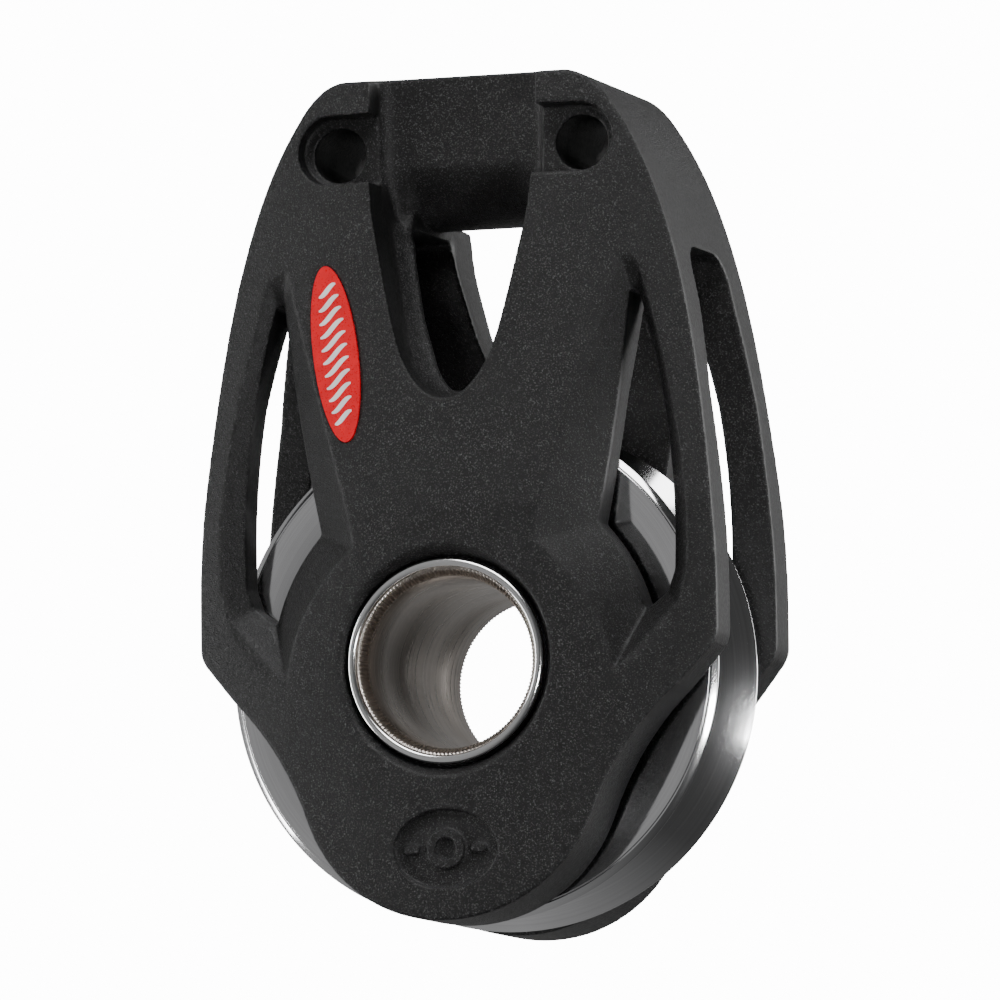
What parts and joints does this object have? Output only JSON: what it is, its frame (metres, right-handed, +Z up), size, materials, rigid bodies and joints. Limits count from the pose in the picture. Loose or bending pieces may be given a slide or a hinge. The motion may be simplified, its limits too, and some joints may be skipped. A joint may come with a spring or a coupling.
{
  "type": "single sheave block",
  "caption": "Single sheave block with a moulded frame, lashing head, hollow steel hub and grooved aluminium sheave that turns on ball bearings.",
  "frame": {"origin": "centre of the hub bore, midway between the cheeks", "axes": "+Y along the bore from the front cheek to the rear cheek, +X to the right seen from the front, +Z up to the lashing head"},
  "size_m": [0.0318, 0.0192, 0.0504],
  "materials": {
    "frame_nylon": "black glass-filled nylon, fine pebbled",
    "hub_steel": "polished stainless tube, flared and swaged ends",
    "label_red": "smooth red label with a white pattern",
    "race_steel": "ground bearing race",
    "ball_steel": "polished bearing ball",
    "washer_acetal": "natural acetal",
    "sheave_aluminium": "turned aluminium with fine rings, polished groove"
  },
  "bodies": {
    "block_frame": {"frame": "frame_nylon", "hub_tube": "hub_steel", "front_label": "label_red", "inner_race_front": "race_steel", "inner_race_rear": "race_steel", "thrust_washer_front": "washer_acetal", "thrust_washer_rear": "washer_acetal"},
    "sheave_wheel": {"sheave": "sheave_aluminium", "outer_race_front": "race_steel", "outer_race_rear": "race_steel", "ball_retainer_front": "washer_acetal", "ball_retainer_rear": "washer_acetal"},
    "front_ball_row": {"ball_front_01": "ball_steel", "ball_front_02": "ball_steel", "ball_front_03": "ball_steel", "ball_front_04": "ball_steel", "ball_front_05": "ball_steel", "ball_front_06": "ball_steel", "ball_front_07": "ball_steel", "ball_front_08": "ball_steel", "ball_front_09": "ball_steel", "ball_front_10": "ball_steel", "ball_front_11": "ball_steel", "ball_front_12": "ball_steel", "ball_front_13": "ball_steel", "ball_front_14": "ball_steel", "ball_front_15": "ball_steel"},
    "rear_ball_row": {"ball_rear_01": "ball_steel", "ball_rear_02": "ball_steel", "ball_rear_03": "ball_steel", "ball_rear_04": "ball_steel", "ball_rear_05": "ball_steel", "ball_rear_06": "ball_steel", "ball_rear_07": "ball_steel", "ball_rear_08": "ball_steel", "ball_rear_09": "ball_steel", "ball_rear_10": "ball_steel", "ball_rear_11": "ball_steel", "ball_rear_12": "ball_steel", "ball_rear_13": "ball_steel", "ball_rear_14": "ball_steel", "ball_rear_15": "ball_steel"}
  },
  "joints": [
    {"name": "sheave_spin", "type": "hinge", "parent": "block_frame", "child": "sheave_wheel", "pos_m": [0, 0, 0], "axis": [0, 1, 0], "continuous": true},
    {"name": "front_row_spin", "type": "hinge", "parent": "block_frame", "child": "front_ball_row", "pos_m": [0, 0, 0], "axis": [0, 1, 0], "continuous": true},
    {"name": "rear_row_spin", "type": "hinge", "parent": "block_frame", "child": "rear_ball_row", "pos_m": [0, 0, 0], "axis": [0, 1, 0], "continuous": true}
  ],
  "couplings": [
    {"joint": "front_row_spin", "follows": "sheave_spin", "ratio": 0.5968},
    {"joint": "rear_row_spin", "follows": "sheave_spin", "ratio": 0.5968}
  ]
}
